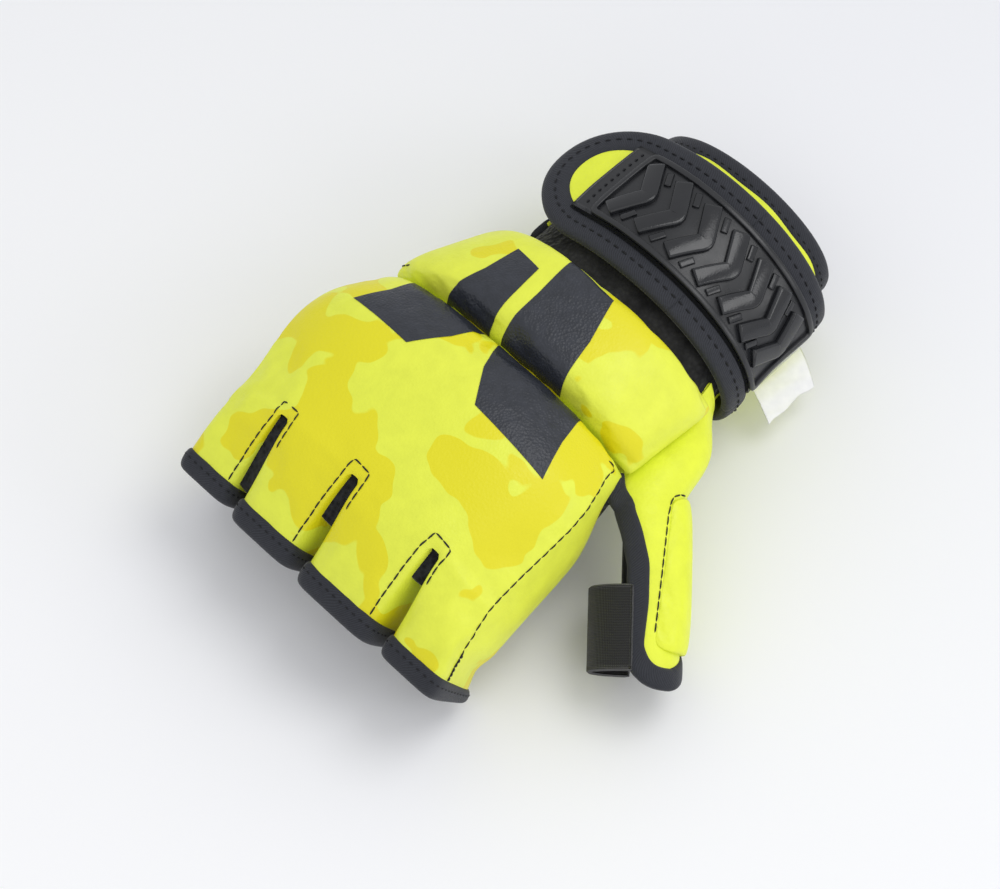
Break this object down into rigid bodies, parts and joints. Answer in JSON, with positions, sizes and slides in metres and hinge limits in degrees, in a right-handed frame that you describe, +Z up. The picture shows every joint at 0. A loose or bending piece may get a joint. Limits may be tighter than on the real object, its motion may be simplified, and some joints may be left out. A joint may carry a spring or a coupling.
{
  "type": "mma glove",
  "caption": "Right-hand open-palm grappling glove: padded knuckle and hand-back pads, open finger sleeves, thumb shield and a hook-and-loop wrist strap.",
  "frame": {"origin": "centre of the flat underside of the wrist strap, where the wrist lies on a table", "axes": "+Z up out of the back of the hand, +Y towards the fingertips, +X towards the little finger"},
  "size_m": [0.1669, 0.2022, 0.0691],
  "materials": {
    "camo_leather": "satin neon-yellow synthetic leather with a soft two-tone camouflage print and black printed shapes",
    "plain_leather": "plain satin neon-yellow synthetic leather",
    "foam": "dark closed-cell padding foam",
    "lining_fabric": "matt black knitted lining",
    "hook_and_loop": "black hook-and-loop pile",
    "binding_tape": "black twill binding tape, rolled and stitched",
    "moulded_rubber": "black moulded rubber with a raised relief, semi-gloss",
    "elastic": "black ribbed elastic",
    "label_satin": "white woven satin, blank"
  },
  "bodies": {
    "hand": {"wrist_lining": "lining_fabric", "cuff_band": "plain_leather", "cuff_binding": "binding_tape", "loop_panel": "hook_and_loop", "strap_anchor": "plain_leather", "strap_anchor_binding_rear": "binding_tape", "strap_anchor_binding_front": "binding_tape", "back_pad_lining": "lining_fabric", "back_pad_foam": "foam", "back_pad_cover": "camo_leather", "little_side_heel": "plain_leather", "thumb_gusset": "plain_leather", "palm_heel": "plain_leather", "palm_heel_binding": "binding_tape"},
    "knuckle_pad": {"knuckle_pad_lining": "lining_fabric", "knuckle_pad_foam": "foam", "knuckle_pad_cover": "camo_leather", "index_side_wall": "camo_leather", "little_side_wall": "camo_leather", "index_palm_binding": "binding_tape", "little_palm_binding": "binding_tape", "fork_gusset_index_middle": "lining_fabric", "fork_gusset_middle_ring": "lining_fabric", "fork_gusset_ring_little": "lining_fabric"},
    "index_finger": {"index_finger_sleeve": "lining_fabric", "index_finger_foam": "foam", "index_finger_cover": "camo_leather", "index_finger_binding": "binding_tape"},
    "middle_finger": {"middle_finger_sleeve": "lining_fabric", "middle_finger_foam": "foam", "middle_finger_cover": "camo_leather", "middle_finger_binding": "binding_tape"},
    "ring_finger": {"ring_finger_sleeve": "lining_fabric", "ring_finger_foam": "foam", "ring_finger_cover": "camo_leather", "ring_finger_binding": "binding_tape"},
    "little_finger": {"little_finger_sleeve": "lining_fabric", "little_finger_foam": "foam", "little_finger_cover": "camo_leather", "little_finger_binding": "binding_tape"},
    "thumb": {"thumb_lining": "lining_fabric", "thumb_cover": "plain_leather", "thumb_binding": "binding_tape", "thumb_pad_foam": "foam", "thumb_pad_cover": "plain_leather", "thumb_elastic": "elastic"},
    "strap": {"strap_band": "plain_leather", "strap_binding_rear": "binding_tape", "strap_binding_front": "binding_tape", "strap_patch": "moulded_rubber", "hook_panel": "hook_and_loop"},
    "strap_tip": {"strap_tip": "plain_leather", "strap_tip_binding": "binding_tape", "tip_hook_panel": "hook_and_loop"},
    "care_label": {"care_label": "label_satin"}
  },
  "joints": [
    {"name": "knuckle_flex", "type": "hinge", "parent": "hand", "child": "knuckle_pad", "pos_m": [0.0045, 0.058, 0.0505], "axis": [-1, 0, 0], "range_deg": [0, 28], "stiffness_Nm_per_rad": 3},
    {"name": "index_finger_flex", "type": "hinge", "parent": "knuckle_pad", "child": "index_finger", "pos_m": [-0.0405, 0.1223, 0.0505], "axis": [-1, 0, 0], "range_deg": [0, 35], "stiffness_Nm_per_rad": 0.5},
    {"name": "middle_finger_flex", "type": "hinge", "parent": "knuckle_pad", "child": "middle_finger", "pos_m": [-0.0105, 0.1223, 0.0505], "axis": [-1, 0, 0], "range_deg": [0, 35], "stiffness_Nm_per_rad": 0.5},
    {"name": "ring_finger_flex", "type": "hinge", "parent": "knuckle_pad", "child": "ring_finger", "pos_m": [0.0228, 0.1223, 0.0505], "axis": [-1, 0, 0], "range_deg": [0, 35], "stiffness_Nm_per_rad": 0.5},
    {"name": "little_finger_flex", "type": "hinge", "parent": "knuckle_pad", "child": "little_finger", "pos_m": [0.0505, 0.1223, 0.0505], "axis": [-1, 0, 0], "range_deg": [0, 35], "stiffness_Nm_per_rad": 0.5},
    {"name": "thumb_swing", "type": "hinge", "parent": "hand", "child": "thumb", "pos_m": [-0.047, 0.05, 0.036], "axis": [-0.2243, 0.2425, 0.9439], "range_deg": [-10, 20], "stiffness_Nm_per_rad": 0.8},
    {"name": "strap_open", "type": "hinge", "parent": "hand", "child": "strap", "pos_m": [-0.0504, -0.012, 0.0306], "axis": [0, -1, 0], "range_deg": [0, 130]},
    {"name": "strap_tip_peel", "type": "hinge", "parent": "strap", "child": "strap_tip", "pos_m": [0.0175, -0.012, 0.0626], "axis": [0, -1, 0], "range_deg": [0, 60], "stiffness_Nm_per_rad": 0.05},
    {"name": "care_label_swing", "type": "hinge", "parent": "hand", "child": "care_label", "pos_m": [-0.046, -0.016, 0.0182], "axis": [0, -1, 0], "range_deg": [-12, 30], "stiffness_Nm_per_rad": 0.002}
  ]
}
